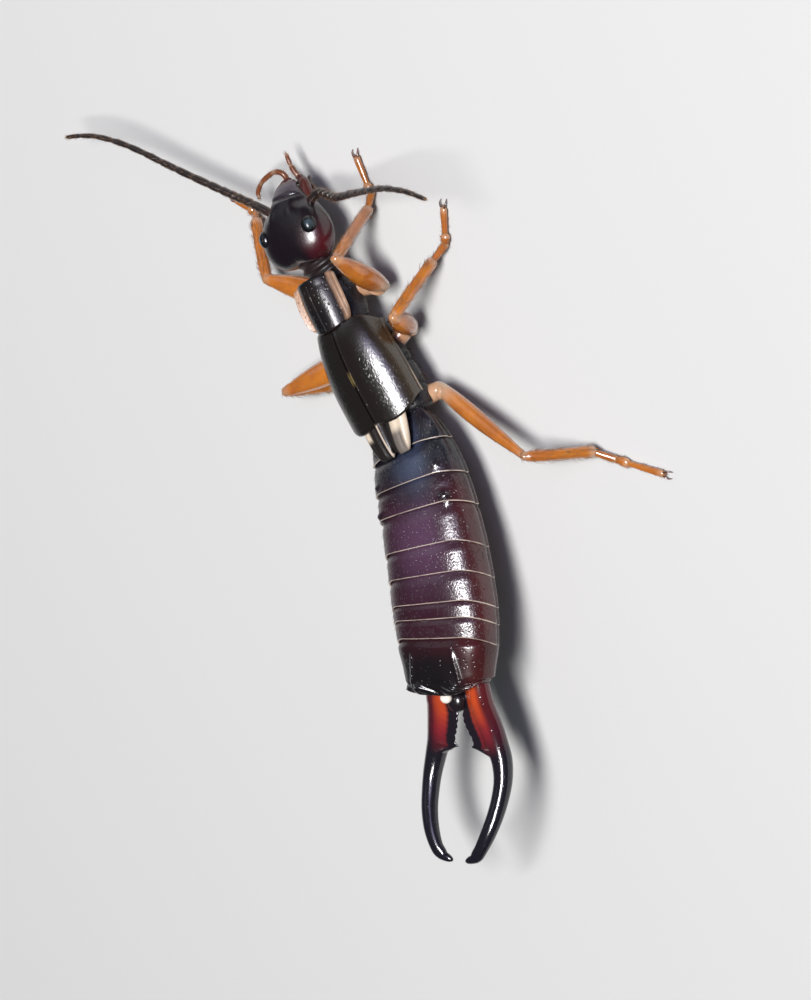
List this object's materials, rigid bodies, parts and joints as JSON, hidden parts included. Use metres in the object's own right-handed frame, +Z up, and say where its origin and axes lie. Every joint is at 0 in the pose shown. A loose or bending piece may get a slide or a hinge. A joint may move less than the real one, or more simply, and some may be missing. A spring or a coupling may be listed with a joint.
{
  "type": "earwig",
  "caption": "Still life-size model of a male common earwig: flat dark body, short wing cases, long ringed abdomen, bowed toothed forceps, slender feelers and amber legs",
  "frame": {"origin": "middle of the whole model in plan, at the level of the floor under its feet", "axes": "+Y toward the head, +X toward the animal's right side, +Z up"},
  "size_m": [0.0106, 0.0194, 0.0036],
  "materials": {
    "head_black": "glossy black-brown cuticle, deep red toward the right rear of the head",
    "eye": "glossy black with a pale blue-green glint",
    "mouth_brown": "semi-glossy red-brown cuticle",
    "feeler_brown": "satin dark brown joints, paler at their ends",
    "pronotum": "glossy black middle with pale tan, slightly clear sides",
    "thorax_black": "satin bluish black, finely hairy",
    "wing_case": "glossy dark brown with a fine grain",
    "wing_tip": "satin cream with a grey-brown middle",
    "abdomen": "semi-glossy dark purple-brown with fine pits and thin golden edges to the rings",
    "forceps": "glossy, orange-red at the root and black to the tips",
    "leg_amber": "glossy amber with pale first joints and short bristles"
  },
  "bodies": {
    "root": {"abdomen": "abdomen", "antenna_left": "feeler_brown", "antenna_right": "feeler_brown", "elytron_left": "wing_case", "elytron_right": "wing_case", "eye_left": "eye", "eye_right": "eye", "forceps_left": "forceps", "forceps_right": "forceps", "head": "head_black", "labial_palps": "mouth_brown", "labrum": "head_black", "last_ring": "head_black", "leg_front_left": "leg_amber", "leg_front_right": "leg_amber", "leg_hind_left": "leg_amber", "leg_hind_right": "leg_amber", "leg_middle_left": "leg_amber", "leg_middle_right": "leg_amber", "mandible_left": "mouth_brown", "mandible_right": "mouth_brown", "maxillary_palp_left": "mouth_brown", "maxillary_palp_right": "mouth_brown", "neck": "mouth_brown", "pronotum": "pronotum", "prothorax": "thorax_black", "pygidium": "head_black", "thorax": "thorax_black", "wing_tip_left": "wing_tip", "wing_tip_right": "wing_tip"}
  },
  "joints": []
}
